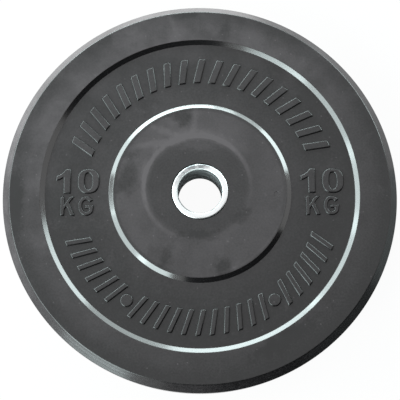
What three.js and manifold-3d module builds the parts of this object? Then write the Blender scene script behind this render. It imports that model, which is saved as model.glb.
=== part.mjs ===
// A 10 kg rubber bumper plate for a 50 mm bar, lying flat on its rear face.
// Millimetres, +Z up along the axis of the bore, origin at the middle of the rear face.
import * as THREE from 'three';
import { mergeVertices } from 'three/addons/utils/BufferGeometryUtils.js';
import Module from 'manifold-3d';

const wasm = await Module();
wasm.setup();

// Driving dimensions of the whole plate.
const plateDiameter = 450;
const hubWidth = 47;
const boreDiameter = 50.4;
const fitGap = 0.3;

// Rubber disc, the same on both faces.
const treadChamferRun = 8.9;
const treadChamferDrop = 9;
const rimFaceWidth = 34.6;
const recessDepth = 3.8;
const recessWallRun = 5.1;
const bossFaceDiameter = 197.4;
const bossWallRun = 5.1;

// Steel sleeve that lines the bore.
const sleeveWall = 7;
const sleeveProud = 0.8;
const sleeveChamfer = 1.4;
const sleeveEdgeRound = 2.2;

// Perforated anchor flange that is buried in the rubber, and its fillet welds.
const flangeWidth = 28.5;
const flangeThickness = 4;
const flangeHoleDiameter = 14;
const weldLeg = 4;

// Raised marks on the floor of the recess.
const reliefHeight = 1.8;
const rootDepth = 1;
const figureHeight = 29;
const figureOneWidth = 17.4;
const figureZeroWidth = 25.4;
const figureSpacing = 7;
const figureZeroStroke = 8.7;
const figureZeroCrown = 5.2;
const unitHeight = 22.6;
const letterKWidth = 17.2;
const letterGWidth = 18.7;
const letterSpacing = 3;
const letterGStroke = 4.9;
const markLineGap = 3;

// Raised grip bars and round studs between the marks.
const barLength = 29.5;
const upperBarWidth = 9.2;
const lowerBarWidth = 6.6;
const barLean = 7;
const upperBarMargin = 17.4;
const lowerBarMargin = 13.4;
const studDiameter = 15;

// Counts and angles.
const diskSegments = 96;
const sleeveSegments = 64;
const roundSteps = 4;
const flangeHoleCount = 8;
const holeSegments = 16;
const studSegments = 20;
const zeroOuterSteps = 28;
const zeroInnerSteps = 20;
const gOuterSteps = 22;
const gInnerSteps = 16;
const zeroSquareness = 2.5;
const gSquareness = 2.2;
const gMouthAngle = THREE.MathUtils.degToRad(34);
const upperBarCount = 19;
const upperBarSpan = THREE.MathUtils.degToRad(136);
const lowerBarSpan = THREE.MathUtils.degToRad(135);
const lowerBarSlots = 25;
const studSlots = [6, 18];

// Radii and heights that follow from the sizes above.
const plateRadius = plateDiameter / 2;
const boreRadius = boreDiameter / 2;
const sleeveRadius = boreRadius + sleeveWall;
const hubHoleRadius = sleeveRadius + fitGap;
const rimFaceRadius = plateRadius - treadChamferRun;
const recessRadius = rimFaceRadius - rimFaceWidth;
const floorOuterRadius = recessRadius - recessWallRun;
const bossRadius = bossFaceDiameter / 2;
const floorInnerRadius = bossRadius + bossWallRun;
const midHeight = hubWidth / 2;
const rimHalfWidth = midHeight - sleeveProud;
const floorHalfWidth = rimHalfWidth - recessDepth;
const treadHalfWidth = rimHalfWidth - treadChamferDrop;
const flangeRadius = hubHoleRadius + flangeWidth;
const slotHalfWidth = flangeThickness / 2 + fitGap;
const weldPocket = weldLeg + fitGap * Math.SQRT2;
const keyCircleRadius = (hubHoleRadius + weldLeg + flangeRadius) / 2;
const markCentreX = (floorInnerRadius + floorOuterRadius) / 2;

// A closed ring turned about Z from half of its section, which lies above the middle plane.
// The other half is the same section mirrored below that plane.
function turnedRing(halfSection, segments) {
  const upper = halfSection.map(([r, z]) => new THREE.Vector2(r, z)).reverse();
  const lower = halfSection.map(([r, z]) => new THREE.Vector2(r, -z));
  const section = [...lower, ...upper, lower[0].clone()];
  const ring = new THREE.LatheGeometry(section, segments);
  ring.rotateX(Math.PI / 2);
  ring.translate(0, 0, midHeight);
  return ring;
}

// A closed triangle mesh as a solid that can be joined and cut.
function solidFrom(geometry) {
  geometry.deleteAttribute('normal');
  geometry.deleteAttribute('uv');
  const merged = mergeVertices(geometry);
  const mesh = new wasm.Mesh({
    numProp: 3,
    vertProperties: new Float32Array(merged.attributes.position.array),
    triVerts: new Uint32Array(merged.index.array),
  });
  return new wasm.Manifold(mesh);
}

function geometryFrom(solid) {
  const mesh = solid.getMesh();
  const geometry = new THREE.BufferGeometry();
  const corners = new Float32Array(mesh.vertProperties);
  geometry.setAttribute('position', new THREE.BufferAttribute(corners, 3));
  geometry.setIndex(new THREE.BufferAttribute(new Uint32Array(mesh.triVerts), 1));
  const faceted = geometry.toNonIndexed();
  faceted.computeVertexNormals();
  return faceted;
}

// Outlines of the raised marks, each standing on the line y = 0 with its left side at x = 0.
// The figure one, as shares of its width and height.
const figureOneShares = [
  [0.49, 0], [1, 0], [1, 1], [0.61, 1], [0.46, 0.87], [0.25, 0.78],
  [0, 0.72], [0, 0.51], [0.25, 0.55], [0.49, 0.63],
];
// The letter K, as shares of its width and height.
const letterKShares = [
  [0, 0], [0.29, 0], [0.29, 0.31], [0.42, 0.46], [0.67, 0], [1, 0],
  [0.61, 0.64], [0.98, 1], [0.63, 1], [0.29, 0.62], [0.29, 1], [0, 1],
];
const crossbarTopShare = 0.55;
const crossbarStartShare = 0.47;
const crossbarDepthShare = 0.19;
const rightSideShare = 0.98;

function outlineFrom(shares, width, height) {
  return new THREE.Shape(shares.map(([x, y]) => new THREE.Vector2(x * width, y * height)));
}

// Points of a squared oval about (cx, cy), from one angle to another.
function ovalPoints(cx, cy, rx, ry, from, to, steps, squareness) {
  const points = [];
  for (let i = 0; i <= steps; i += 1) {
    const angle = from + ((to - from) * i) / steps;
    const c = Math.cos(angle);
    const s = Math.sin(angle);
    const x = cx + rx * Math.sign(c) * Math.abs(c) ** (2 / squareness);
    const y = cy + ry * Math.sign(s) * Math.abs(s) ** (2 / squareness);
    points.push(new THREE.Vector2(x, y));
  }
  return points;
}

function figureZero() {
  const rx = figureZeroWidth / 2;
  const ry = figureHeight / 2;
  const turn = 2 * Math.PI;
  const outer = ovalPoints(rx, ry, rx, ry, 0, turn, zeroOuterSteps, zeroSquareness).slice(0, -1);
  const innerX = rx - figureZeroStroke;
  const innerY = ry - figureZeroCrown;
  const inner = ovalPoints(rx, ry, innerX, innerY, 0, turn, zeroInnerSteps, zeroSquareness).slice(0, -1);
  const shape = new THREE.Shape(outer);
  shape.holes.push(new THREE.Path(inner));
  return shape;
}

function letterG() {
  const rx = letterGWidth / 2;
  const ry = unitHeight / 2;
  const rest = 2 * Math.PI - gMouthAngle;
  const outer = ovalPoints(rx, ry, rx, ry, gMouthAngle, rest, gOuterSteps, gSquareness);
  const innerX = rx - letterGStroke;
  const innerY = ry - letterGStroke;
  const inner = ovalPoints(rx, ry, innerX, innerY, gMouthAngle, rest, gInnerSteps, gSquareness).reverse();
  const right = letterGWidth * rightSideShare;
  const top = unitHeight * crossbarTopShare;
  const underside = top - unitHeight * crossbarDepthShare;
  const crossbar = [
    new THREE.Vector2(right, top),
    new THREE.Vector2(letterGWidth * crossbarStartShare, top),
    new THREE.Vector2(letterGWidth * crossbarStartShare, underside),
    new THREE.Vector2(right - letterGStroke, underside),
  ];
  return new THREE.Shape([...outer, ...crossbar, ...inner]);
}

function gripBar(width) {
  const half = width / 2;
  const lean = barLean / 2;
  const reach = barLength / 2;
  return new THREE.Shape([
    new THREE.Vector2(-half - lean, -reach),
    new THREE.Vector2(half - lean, -reach),
    new THREE.Vector2(half + lean, reach),
    new THREE.Vector2(-half + lean, reach),
  ]);
}

function stud() {
  const shape = new THREE.Shape();
  shape.absarc(0, 0, studDiameter / 2, 0, 2 * Math.PI);
  return shape;
}

// A raised mark stands on the recess floor and is rooted a little below it.
function raised(shape) {
  const depth = rootDepth + reliefHeight;
  const options = { depth, bevelEnabled: false, curveSegments: studSegments };
  const geometry = new THREE.ExtrudeGeometry(shape, options);
  geometry.translate(0, 0, midHeight + floorHalfWidth - rootDepth);
  return geometry;
}

// One mark placed upright with the lower left corner of its outline at (x, y).
function uprightMark(shape, x, y) {
  const mark = raised(shape);
  mark.translate(x, y, 0);
  return mark;
}

// One mark placed on a circle, with its own up direction pointing out along the radius.
function arcMark(shape, radius, angle) {
  const mark = raised(shape);
  mark.translate(0, radius, 0);
  mark.rotateZ(angle - Math.PI / 2);
  return mark;
}

// The weight, a line of figures over a line of letters, centred on x.
function weightMark(x) {
  const figuresWidth = figureOneWidth + figureSpacing + figureZeroWidth;
  const lettersWidth = letterKWidth + letterSpacing + letterGWidth;
  const figuresLeft = x - figuresWidth / 2;
  const lettersLeft = x - lettersWidth / 2;
  const markHeight = figureHeight + markLineGap + unitHeight;
  const lettersFoot = -markHeight / 2;
  const figuresFoot = lettersFoot + unitHeight + markLineGap;
  const zeroLeft = figuresLeft + figureOneWidth + figureSpacing;
  const gLeft = lettersLeft + letterKWidth + letterSpacing;
  return [
    uprightMark(outlineFrom(figureOneShares, figureOneWidth, figureHeight), figuresLeft, figuresFoot),
    uprightMark(figureZero(), zeroLeft, figuresFoot),
    uprightMark(outlineFrom(letterKShares, letterKWidth, unitHeight), lettersLeft, lettersFoot),
    uprightMark(letterG(), gLeft, lettersFoot),
  ];
}

// The upper row of grip bars, centred on twelve o'clock.
function upperBars() {
  const radius = floorOuterRadius - upperBarMargin - barLength / 2;
  const bars = [];
  for (let i = 0; i < upperBarCount; i += 1) {
    const angle = Math.PI / 2 + upperBarSpan * (0.5 - i / (upperBarCount - 1));
    bars.push(arcMark(gripBar(upperBarWidth), radius, angle));
  }
  return bars;
}

// The lower row, centred on six o'clock, with a round stud in place of some of its bars.
function lowerBars() {
  const radius = floorOuterRadius - lowerBarMargin - barLength / 2;
  const marks = [];
  for (let i = 0; i < lowerBarSlots; i += 1) {
    const angle = -Math.PI / 2 + lowerBarSpan * (i / (lowerBarSlots - 1) - 0.5);
    const shape = studSlots.includes(i) ? stud() : gripBar(lowerBarWidth);
    marks.push(arcMark(shape, radius, angle));
  }
  return marks;
}

function faceRelief() {
  return [...weightMark(-markCentreX), ...weightMark(markCentreX), ...upperBars(), ...lowerBars()];
}

// The rear face carries the same marks, turned over about the Y axis so that they read from behind.
function turnedOver(geometry) {
  geometry.translate(0, 0, -midHeight);
  geometry.rotateY(Math.PI);
  geometry.translate(0, 0, midHeight);
  return geometry;
}

// Moulded rubber disc: rim, recess and boss on each face, a slot around the anchor flange,
// and keys of rubber that fill the holes of the flange.
function rubberDisc() {
  const halfSection = [
    [flangeRadius + fitGap, slotHalfWidth],
    [hubHoleRadius + weldPocket, slotHalfWidth],
    [hubHoleRadius, slotHalfWidth + weldPocket],
    [hubHoleRadius, rimHalfWidth],
    [bossRadius, rimHalfWidth],
    [floorInnerRadius, floorHalfWidth],
    [floorOuterRadius, floorHalfWidth],
    [recessRadius, rimHalfWidth],
    [rimFaceRadius, rimHalfWidth],
    [plateRadius, treadHalfWidth],
  ];
  let disc = solidFrom(turnedRing(halfSection, diskSegments));
  for (let i = 0; i < flangeHoleCount; i += 1) {
    disc = disc.add(solidFrom(flangePlug(i, flangeHoleDiameter / 2 - fitGap, slotHalfWidth + rootDepth)));
  }
  for (const mark of faceRelief()) {
    disc = disc.add(solidFrom(mark));
  }
  for (const mark of faceRelief()) {
    disc = disc.add(solidFrom(turnedOver(mark)));
  }
  return geometryFrom(disc);
}

// A round plug on the hole circle of the anchor flange, centred on the middle plane.
function flangePlug(index, radius, halfLength) {
  const plug = new THREE.CylinderGeometry(radius, radius, 2 * halfLength, holeSegments);
  plug.rotateX(Math.PI / 2);
  plug.translate(keyCircleRadius, 0, midHeight);
  plug.rotateZ((2 * Math.PI * index) / flangeHoleCount);
  return plug;
}

// Turned steel sleeve: chamfered mouths for the bar and rounded outer edges.
function hubSleeve() {
  const halfSection = [
    [boreRadius, midHeight - sleeveChamfer],
    [boreRadius + sleeveChamfer, midHeight],
  ];
  const roundCentreR = sleeveRadius - sleeveEdgeRound;
  const roundCentreZ = midHeight - sleeveEdgeRound;
  for (let i = 0; i <= roundSteps; i += 1) {
    const angle = (Math.PI / 2) * (1 - i / roundSteps);
    const r = roundCentreR + sleeveEdgeRound * Math.cos(angle);
    const z = roundCentreZ + sleeveEdgeRound * Math.sin(angle);
    halfSection.push([r, z]);
  }
  return turnedRing(halfSection, sleeveSegments);
}

// Flat steel ring with a circle of round holes, around the middle of the sleeve.
function anchorFlange() {
  const halfSection = [
    [hubHoleRadius, flangeThickness / 2],
    [flangeRadius, flangeThickness / 2],
  ];
  let flange = solidFrom(turnedRing(halfSection, diskSegments));
  for (let i = 0; i < flangeHoleCount; i += 1) {
    flange = flange.subtract(solidFrom(flangePlug(i, flangeHoleDiameter / 2, flangeThickness)));
  }
  return geometryFrom(flange);
}

// Fillet weld in the corner between the sleeve and one side of the flange.
function weldBead(side) {
  const foot = slotHalfWidth;
  const section = [
    new THREE.Vector2(hubHoleRadius, foot),
    new THREE.Vector2(hubHoleRadius + weldLeg, foot),
    new THREE.Vector2(hubHoleRadius, foot + weldLeg),
    new THREE.Vector2(hubHoleRadius, foot),
  ];
  const bead = new THREE.LatheGeometry(section, sleeveSegments);
  bead.rotateX(side * (Math.PI / 2));
  bead.translate(0, 0, midHeight);
  return bead;
}

const rubber = { color: 0x3d3d3f, roughness: 0.5, metalness: 0 };
const turnedSteel = { color: 0xd2d4d6, roughness: 0.3, metalness: 1 };
const plainSteel = { color: 0x7c7d80, roughness: 0.55, metalness: 1 };
const weldSteel = { color: 0x6a6a6c, roughness: 0.6, metalness: 1 };

const plate = new THREE.Group();

function addPart(name, geometry, finish) {
  const part = new THREE.Mesh(geometry, new THREE.MeshStandardMaterial(finish));
  part.name = name;
  plate.add(part);
}

addPart('rubber_disc', rubberDisc(), rubber);
addPart('hub_sleeve', hubSleeve(), turnedSteel);
addPart('anchor_flange', anchorFlange(), plainSteel);
addPart('weld_bead_front', weldBead(1), weldSteel);
addPart('weld_bead_rear', weldBead(-1), weldSteel);

export default plate;
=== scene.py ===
# %% [markdown]
# # A rubber bumper plate
# A bumper plate is a disc of black rubber moulded around a steel sleeve, so that a loaded bar can be
# dropped. This lesson dresses a plate whose solid parts are already built. It loads them as a fixed frame,
# turns a fine rubber disc and a fine steel sleeve in their place, gives every surface its finish, and
# lights it softly.

# %% Load the solid parts
import bmesh
import bpy
import math
from mathutils import Matrix, Vector


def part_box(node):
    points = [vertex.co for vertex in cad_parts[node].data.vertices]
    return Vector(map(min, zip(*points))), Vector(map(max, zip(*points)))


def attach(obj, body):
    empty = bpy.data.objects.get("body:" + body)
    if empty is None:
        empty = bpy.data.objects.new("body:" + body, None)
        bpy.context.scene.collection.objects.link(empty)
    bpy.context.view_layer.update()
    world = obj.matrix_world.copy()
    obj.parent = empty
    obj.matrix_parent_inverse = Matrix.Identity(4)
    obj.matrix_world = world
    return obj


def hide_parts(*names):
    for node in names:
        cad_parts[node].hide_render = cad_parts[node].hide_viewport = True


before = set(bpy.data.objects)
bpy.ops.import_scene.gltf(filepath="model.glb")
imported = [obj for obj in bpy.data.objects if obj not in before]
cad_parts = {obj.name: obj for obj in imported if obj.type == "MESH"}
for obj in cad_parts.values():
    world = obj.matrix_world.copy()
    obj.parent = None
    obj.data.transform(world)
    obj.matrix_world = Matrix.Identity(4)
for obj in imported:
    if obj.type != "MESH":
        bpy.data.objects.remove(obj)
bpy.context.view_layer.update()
print("parts of the plate:", sorted(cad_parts))

# %% [markdown]
# ## Sizes
# The outer sizes come from the loaded parts, so the fine pieces fit them exactly. The sizes of the moulded
# shape are named here once, in metres. The plate lies flat: Z is its axis, and its figures read along X.

# %% Sizes of the plate
MM = 0.001
disc_low, disc_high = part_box("rubber_disc")
sleeve_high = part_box("hub_sleeve")[1]
flange_low, flange_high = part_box("anchor_flange")
bead_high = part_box("weld_bead_front")[1]

PLATE_RADIUS = disc_high.x
SLEEVE_RADIUS = sleeve_high.x
FLANGE_RADIUS = flange_high.x
MID_HEIGHT = (disc_low.z + disc_high.z) / 2
RIM_HALF_WIDTH = disc_high.z - MID_HEIGHT
SLEEVE_HALF_WIDTH = sleeve_high.z - MID_HEIGHT
FIT_GAP = 0.3 * MM
HUB_HOLE_RADIUS = SLEEVE_RADIUS + FIT_GAP
WELD_LEG = bead_high.x - HUB_HOLE_RADIUS

TREAD_CHAMFER_RUN = 8.9 * MM
TREAD_CHAMFER_DROP = 9.0 * MM
RIM_FACE_WIDTH = 34.5 * MM
RECESS_DEPTH = 3.8 * MM
WALL_RUN = 5.3 * MM
BOSS_WALL_RUN = 5.4 * MM
BOSS_RADIUS = 98.5 * MM

RIM_FACE_RADIUS = PLATE_RADIUS - TREAD_CHAMFER_RUN
RECESS_RADIUS = RIM_FACE_RADIUS - RIM_FACE_WIDTH
FLOOR_OUTER_RADIUS = RECESS_RADIUS - WALL_RUN
FLOOR_INNER_RADIUS = BOSS_RADIUS + BOSS_WALL_RUN
FLOOR_HALF_WIDTH = RIM_HALF_WIDTH - RECESS_DEPTH
FLOOR_HEIGHT = MID_HEIGHT + FLOOR_HALF_WIDTH
print(f"plate {2 * PLATE_RADIUS / MM:.0f} mm across, {2 * SLEEVE_HALF_WIDTH / MM:.0f} mm wide at the hub")

# %% [markdown]
# ## Camera
# The camera looks down on the plate from 1.15 m, tipped 12 degrees from straight above, as a catalogue
# picture of a plate on the floor is taken. It is aimed a little in front of the bore.

# %% Place the camera
CAMERA_FROM_RIM_CENTRE = Vector((-7.98, -249.67, 1129.22)) * MM
AIM_FROM_RIM_CENTRE = Vector((-0.137, -10.116, 0.0)) * MM
LENS = 91.82
ROLL = math.radians(0.27)
SENSOR_WIDTH = 36.0

rim_centre = Vector((0, 0, disc_high.z))
bpy.ops.object.select_all(action="DESELECT")
bpy.ops.object.camera_add(location=rim_centre + CAMERA_FROM_RIM_CENTRE)
camera = bpy.context.object
camera.name = "camera"
camera.data.lens = LENS
camera.data.sensor_width = SENSOR_WIDTH
line_of_sight = AIM_FROM_RIM_CENTRE - CAMERA_FROM_RIM_CENTRE
backwards = -line_of_sight.normalized()
rightwards = Vector((math.sin(ROLL), math.cos(ROLL), 0)).cross(backwards).normalized()
upwards = backwards.cross(rightwards)
camera.rotation_euler = Matrix((rightwards, upwards, backwards)).transposed().to_euler()
bpy.context.scene.camera = camera
print(f"camera {line_of_sight.length:.3f} m from its aim point")

# %% [markdown]
# ## Drawing an outline
# Turned pieces and raised figures both start from an outline. As by hand, one corner is placed and the
# rest are extruded from it, one after the other. These helpers do that, and select by place in edit mode.

# %% Helpers for drawing and selecting
SAME_POINT = FIT_GAP / 10


def make_active(obj):
    bpy.ops.object.select_all(action="DESELECT")
    obj.select_set(True)
    bpy.context.view_layer.objects.active = obj


def traced(name, points, closed=True):
    """An object, left in edit mode, that holds one chain of edges through the points."""
    bpy.ops.object.select_all(action="DESELECT")
    bpy.ops.mesh.primitive_plane_add(size=MM)
    obj = bpy.context.object
    obj.name = name
    bpy.ops.object.mode_set(mode="EDIT")
    bpy.ops.mesh.select_mode(type="VERT")
    bpy.ops.mesh.select_all(action="SELECT")
    bpy.ops.mesh.merge(type="CENTER")
    bpy.ops.transform.translate(value=points[0])
    for start, end in zip(points, points[1:] + (points[:1] if closed else [])):
        bpy.ops.mesh.extrude_region_move(TRANSFORM_OT_translate={"value": end - start})
    bpy.ops.mesh.select_all(action="SELECT")
    bpy.ops.mesh.remove_doubles(threshold=SAME_POINT)
    return obj


def pick(obj, kind, test):
    """Selects only those vertices, edges or faces of an edited mesh that pass the test."""
    bpy.ops.mesh.select_mode(type={"verts": "VERT", "edges": "EDGE", "faces": "FACE"}[kind])
    bpy.ops.mesh.select_all(action="DESELECT")
    mesh = bmesh.from_edit_mesh(obj.data)
    chosen = [item for item in getattr(mesh, kind) if test(item)]
    for item in chosen:
        item.select_set(True)
    mesh.select_flush_mode()
    bmesh.update_edit_mesh(obj.data)
    return len(chosen)


print(f"points closer than {SAME_POINT / MM:.2f} mm count as one")

# %% [markdown]
# ## Turning the rubber disc
# The real disc is pressed in a steel mould that was itself turned on a lathe, so its section is the same
# all round. It could be built from stacked cylinders, but a spun section gives true roundings at every
# corner and an even mesh. Half of the section is listed from the inside out, and the other half is its
# mirror image. The edges of the boss and the rim are softer than the other corners, because they wear.
# Beside each corner a second point holds the flat or the slope next to it straight when the shading is
# smoothed.

# %% The section of the disc: radius, height from the middle plane, and rounding of each corner
CORNER_ROUND = 0.4 * MM
RIM_EDGE_ROUND = 0.7 * MM
BOSS_EDGE_ROUND = 0.7 * MM
SLOPE_MARGIN = 0.1 * MM
FLAT_MARGIN = 0.2 * MM
HOLD = CORNER_ROUND + FLAT_MARGIN
WELD_POCKET = WELD_LEG + FIT_GAP * math.sqrt(2)
SLOT_HALF_WIDTH = (flange_high.z - flange_low.z) / 2 + FIT_GAP
TREAD_HALF_WIDTH = RIM_HALF_WIDTH - TREAD_CHAMFER_DROP


def slope(start, end, start_round=CORNER_ROUND):
    """The two corners of a slope, rounded, with a holding point on the slope beside each."""
    a, b = Vector(start), Vector(end)
    along = (b - a).normalized()
    after_start = a + along * (start_round + SLOPE_MARGIN)
    before_end = b - along * (CORNER_ROUND + SLOPE_MARGIN)
    return [(*a, start_round), (*after_start, 0), (*before_end, 0), (*b, CORNER_ROUND)]


boss_edge, boss_foot = (BOSS_RADIUS, RIM_HALF_WIDTH), (FLOOR_INNER_RADIUS, FLOOR_HALF_WIDTH)
recess_foot, recess_edge = (FLOOR_OUTER_RADIUS, FLOOR_HALF_WIDTH), (RECESS_RADIUS, RIM_HALF_WIDTH)
rim_edge, tread_edge = (RIM_FACE_RADIUS, RIM_HALF_WIDTH), (PLATE_RADIUS, TREAD_HALF_WIDTH)
disc_section = [
    (FLANGE_RADIUS + FIT_GAP, SLOT_HALF_WIDTH, 0),
    (HUB_HOLE_RADIUS + WELD_POCKET, SLOT_HALF_WIDTH, 0),
    (HUB_HOLE_RADIUS, SLOT_HALF_WIDTH + WELD_POCKET, 0),
    (HUB_HOLE_RADIUS, RIM_HALF_WIDTH - HOLD, 0),
    (HUB_HOLE_RADIUS, RIM_HALF_WIDTH, CORNER_ROUND),
    (HUB_HOLE_RADIUS + HOLD, RIM_HALF_WIDTH, 0),
    (BOSS_RADIUS - BOSS_EDGE_ROUND - FLAT_MARGIN, RIM_HALF_WIDTH, 0),
    *slope(boss_edge, boss_foot, start_round=BOSS_EDGE_ROUND),
    (FLOOR_INNER_RADIUS + HOLD, FLOOR_HALF_WIDTH, 0),
    (FLOOR_OUTER_RADIUS - HOLD, FLOOR_HALF_WIDTH, 0),
    *slope(recess_foot, recess_edge),
    (RECESS_RADIUS + HOLD, RIM_HALF_WIDTH, 0),
    (RIM_FACE_RADIUS - RIM_EDGE_ROUND - FLAT_MARGIN, RIM_HALF_WIDTH, 0),
    *slope(rim_edge, tread_edge, start_round=RIM_EDGE_ROUND),
    (PLATE_RADIUS, TREAD_HALF_WIDTH - HOLD, 0),
]
print("corners in the section of the disc:", 2 * len(disc_section))

# %% Spin a section into a closed ring
ROUND_SEGMENTS = 3
DISC_STEPS = 256
SEAM_REACH = FIT_GAP / 100


def turned(name, half_section, steps, segments=ROUND_SEGMENTS):
    """A ring whose section is the half section, above the middle plane, and its mirror image below."""
    upper = [(Vector((r, 0, MID_HEIGHT + z)), rounding) for r, z, rounding in half_section]
    lower = [(Vector((r, 0, MID_HEIGHT - z)), rounding) for r, z, rounding in reversed(half_section)]
    corners = upper + lower
    obj = traced(name, [point for point, rounding in corners])
    for rounding in sorted({rounding for point, rounding in corners if rounding}):
        places = [point for point, size in corners if size == rounding]
        pick(obj, "verts", lambda v: any((v.co - place).length < SAME_POINT for place in places))
        bpy.ops.mesh.bevel(offset=rounding, segments=segments, affect="VERTICES")
    bpy.ops.mesh.select_all(action="SELECT")
    bpy.ops.mesh.spin(steps=steps, angle=2 * math.pi, center=(0, 0, 0), axis=(0, 0, 1))
    bpy.ops.mesh.select_all(action="SELECT")
    bpy.ops.mesh.remove_doubles(threshold=SEAM_REACH)
    bpy.ops.mesh.normals_make_consistent(inside=False)
    bpy.ops.object.mode_set(mode="OBJECT")
    return obj


disc = turned("moulded_rubber_disc", disc_section, DISC_STEPS)
print("rubber disc:", len(disc.data.polygons), "faces")

# %% [markdown]
# ## Raised marks
# The weight is moulded on the floor of the recess. Marks in a mould have sloped sides, so that the rubber
# comes out, and soft corners, because a round cutter engraved them. Each mark is drawn as an outline,
# filled, pulled up from below the floor, and drawn in as it rises; then its corners and the rim of its top
# are bevelled. The root below the floor is what the mark is later joined by, and a thin inset keeps its
# top flat when smoothed.

# %% Pull an outline up into a mark
RELIEF = 1.6 * MM
ROOT = 1.0 * MM
DRAFT_RUN = 0.9 * MM
CORNER_EASE = 0.9 * MM
CORNER_SEGMENTS = 2
TOP_ROUND = 0.8 * MM
NARROW_TOP_ROUND = 0.45 * MM
TOP_HOLD = 0.08 * MM
SHARP_TURN = math.radians(25)
LEVEL_NORMAL_Z = math.cos(SHARP_TURN / 4)


def on_top(part):
    return all(v.co.z > RELIEF - TOP_HOLD for v in part.verts)


def up_a_corner(edge):
    """True for the edge between two side walls that meet at a corner of the outline."""
    low, high = sorted(v.co.z for v in edge.verts)
    return high - low > ROOT / 2 and edge.calc_face_angle(0) > SHARP_TURN


def raised(obj, ease=CORNER_EASE, top_round=TOP_ROUND):
    """Pulls up the filled outline of an object in edit mode, which lies in the plane of the recess floor."""
    bpy.ops.mesh.select_all(action="SELECT")
    bpy.ops.transform.translate(value=(0, 0, -ROOT))
    bpy.ops.mesh.extrude_region_move(TRANSFORM_OT_translate={"value": (0, 0, ROOT)})
    bpy.ops.mesh.inset(thickness=DRAFT_RUN)
    bpy.ops.transform.translate(value=(0, 0, RELIEF))
    bpy.ops.mesh.select_all(action="SELECT")
    bpy.ops.mesh.normals_make_consistent(inside=False)
    if pick(obj, "edges", up_a_corner):
        bpy.ops.mesh.bevel(offset=ease, segments=CORNER_SEGMENTS, affect="EDGES")
    pick(obj, "edges", lambda edge: on_top(edge) and edge.calc_face_angle(0) > SHARP_TURN)
    bpy.ops.mesh.bevel(offset=top_round, segments=ROUND_SEGMENTS, affect="EDGES")
    pick(obj, "faces", lambda face: on_top(face) and face.normal.z > LEVEL_NORMAL_Z)
    bpy.ops.mesh.inset(thickness=TOP_HOLD)
    bpy.ops.object.mode_set(mode="OBJECT")
    return obj


def outlined(name, points, **softness):
    """A raised mark from the corners of its outline."""
    obj = traced(name, points)
    bpy.ops.mesh.select_all(action="SELECT")
    bpy.ops.mesh.edge_face_add()
    return raised(obj, **softness)


print(f"marks rise {RELIEF / MM:.1f} mm with sides that lean in by {DRAFT_RUN / MM:.1f} mm")

# %% [markdown]
# ## Figures and letters
# The one and the K have straight sides, so their corners are listed as shares of their width and height.
# The zero and the G follow squared ovals, because such figures are drawn fuller at the corners than an
# ellipse. The G is one long outline; the zero is an oval face that is inset and scaled in to leave a ring.

# %% Draw the one and the K
FIGURE_HEIGHT = 29.0 * MM
ONE_WIDTH = 17.4 * MM
UNIT_HEIGHT = 22.6 * MM
K_WIDTH = 17.2 * MM
ONE_SHARES = [
    (0.49, 0), (1, 0), (1, 1), (0.61, 1), (0.46, 0.87), (0.25, 0.78),
    (0, 0.72), (0, 0.51), (0.25, 0.55), (0.49, 0.63),
]
K_SHARES = [
    (0, 0), (0.29, 0), (0.29, 0.31), (0.42, 0.46), (0.67, 0), (1, 0),
    (0.61, 0.64), (0.98, 1), (0.63, 1), (0.29, 0.62), (0.29, 1), (0, 1),
]


def outline_from(shares, width, height):
    return [Vector((x * width, y * height, 0)) for x, y in shares]


figure_one = outlined("figure_one", outline_from(ONE_SHARES, ONE_WIDTH, FIGURE_HEIGHT))
letter_k = outlined("letter_k", outline_from(K_SHARES, K_WIDTH, UNIT_HEIGHT), top_round=NARROW_TOP_ROUND)
print("one:", len(figure_one.data.polygons), "faces, letter K:", len(letter_k.data.polygons), "faces")

# %% Draw the G
G_WIDTH = 18.7 * MM
G_STROKE = 4.9 * MM
G_CORNER_EASE = 0.5 * MM
G_SQUARENESS = 2.2
G_MOUTH = math.radians(34)
G_BOWL_END = math.radians(50)
G_OUTER_STEPS = 28
G_INNER_STEPS = 16
CROSSBAR_TOP_SHARE = 0.55
CROSSBAR_START_SHARE = 0.39
CROSSBAR_DEPTH_SHARE = 0.19
RIGHT_SIDE_SHARE = 0.98


def oval(centre, half_width, half_height, start, end, squareness, steps):
    """Points along a squared oval from one angle to another, both included."""
    points = []
    for i in range(steps + 1):
        angle = start + (end - start) * i / steps
        c, s = math.cos(angle), math.sin(angle)
        x = math.copysign(abs(c) ** (2 / squareness), c) * half_width
        y = math.copysign(abs(s) ** (2 / squareness), s) * half_height
        points.append(centre + Vector((x, y, 0)))
    return points


g_centre = Vector((G_WIDTH, UNIT_HEIGHT, 0)) / 2
g_right = G_WIDTH * RIGHT_SIDE_SHARE
bar_top = UNIT_HEIGHT * CROSSBAR_TOP_SHARE
bar_foot = bar_top - UNIT_HEIGHT * CROSSBAR_DEPTH_SHARE
g_bowl = g_centre - Vector((G_STROKE, G_STROKE, 0))
g_outer = oval(g_centre, *g_centre.xy, G_MOUTH, 2 * math.pi - G_MOUTH, G_SQUARENESS, G_OUTER_STEPS)
g_inner = oval(g_centre, *g_bowl.xy, G_MOUTH, 2 * math.pi - G_BOWL_END, G_SQUARENESS, G_INNER_STEPS)
g_crossbar = [
    Vector((g_right, bar_top, 0)),
    Vector((G_WIDTH * CROSSBAR_START_SHARE, bar_top, 0)),
    Vector((G_WIDTH * CROSSBAR_START_SHARE, bar_foot, 0)),
    Vector((g_inner[-1].x, bar_foot, 0)),
]
letter_g = outlined(
    "letter_g", g_outer + g_crossbar + g_inner[::-1], ease=G_CORNER_EASE, top_round=NARROW_TOP_ROUND
)
print("letter G:", len(letter_g.data.polygons), "faces")

# %% Draw the zero as a ring
ZERO_WIDTH = 25.4 * MM
ZERO_STROKE = 8.7 * MM
ZERO_CROWN = 5.2 * MM
ZERO_SQUARENESS = 2.5
ZERO_STEPS = 40
QUAD_CORNERS = 4

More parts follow.
